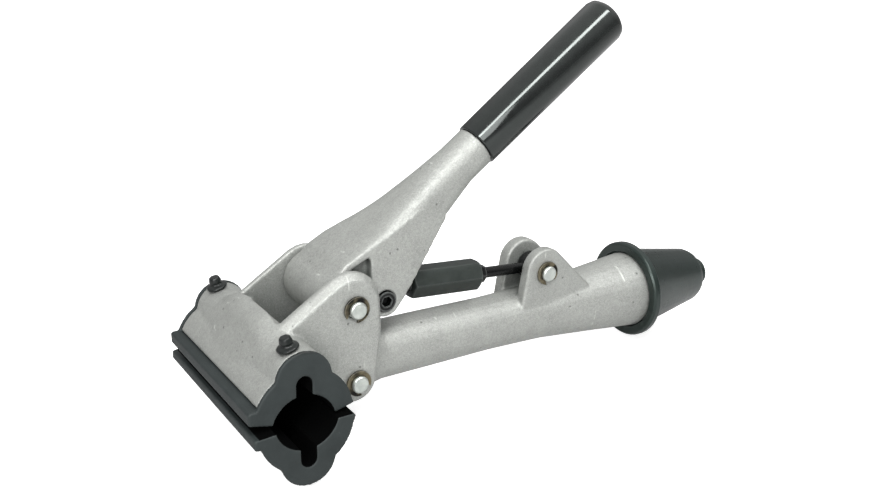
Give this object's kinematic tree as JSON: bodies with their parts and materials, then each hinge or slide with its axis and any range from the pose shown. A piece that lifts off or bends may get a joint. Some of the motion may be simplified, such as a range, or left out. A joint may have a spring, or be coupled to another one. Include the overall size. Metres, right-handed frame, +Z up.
{
  "type": "repair stand clamp",
  "caption": "Bicycle repair-stand clamp: rubber-lined jaws that a hand lever closes past dead centre through a screw-adjusted link, on a cast tube ending in a taper.",
  "frame": {"origin": "bottom centre of the whole clamp's box at rest", "axes": "+X along the tube from the jaws to the taper, +Z up towards the lever, +Y along the pins away from the side whose link screw shows its head"},
  "size_m": [0.3316, 0.117, 0.2113],
  "materials": {
    "casting": "as-cast satin, fine sand grain",
    "rubber": "matte moulded",
    "grip": "dipped vinyl, glossy",
    "nylon": "satin moulded nylon",
    "black_steel": "black oxide, satin",
    "zinc": "bright zinc plate"
  },
  "bodies": {
    "body": {"body_casting": "casting", "lower_jaw_cover": "rubber", "jaw_hinge_pin": "zinc", "jaw_hinge_ring_near": "black_steel", "jaw_hinge_ring_far": "black_steel", "rear_pin": "zinc", "rear_ring_near": "black_steel", "rear_ring_far": "black_steel", "taper_sleeve": "nylon", "taper_washer": "zinc", "taper_bolt": "zinc", "taper_cap": "nylon"},
    "upper_jaw": {"upper_jaw_casting": "casting", "upper_jaw_cover": "rubber", "lever_pivot_pin": "zinc", "lever_pivot_ring_near": "black_steel", "lever_pivot_ring_far": "black_steel"},
    "lever": {"lever_casting": "casting", "lever_grip": "grip", "link_screw": "black_steel", "link_screw_nut": "black_steel"},
    "link_rod": {"link_rod": "black_steel"},
    "link_head": {"link_head": "black_steel"},
    "barrel": {"adjuster_barrel": "black_steel", "lock_nut": "black_steel"}
  },
  "joints": [
    {"name": "jaw_hinge", "type": "hinge", "parent": "body", "child": "upper_jaw", "pos_m": [-0.09858, 0, 0.03523], "axis": [0, 1, 0], "range_deg": [0, 24.05]},
    {"name": "lever_pivot", "type": "hinge", "parent": "upper_jaw", "child": "lever", "pos_m": [-0.09858, 0, 0.07473], "axis": [0, -1, 0], "range_deg": [0, 98.9]},
    {"name": "link_pivot", "type": "hinge", "parent": "body", "child": "link_rod", "pos_m": [0.03162, 0, 0.06323], "axis": [0, 1, 0], "range_deg": [0, 10.6]},
    {"name": "link_length", "type": "slide", "parent": "link_rod", "child": "link_head", "axis": [-0.9972, 0, 0.0752], "range_m": [-0.002, 0.002]},
    {"name": "barrel_turn", "type": "hinge", "parent": "link_head", "child": "barrel", "pos_m": [-0.07708, 0, 0.07143], "axis": [-0.9972, 0, 0.0752], "range_deg": [-576, 576]}
  ],
  "couplings": [
    {"joint": "jaw_hinge", "follows": "lever_pivot", "ratio": 0.24267},
    {"joint": "link_pivot", "follows": "lever_pivot", "ratio": 0.10667},
    {"joint": "barrel_turn", "follows": "link_length", "rad_per_m": 5026}
  ]
}
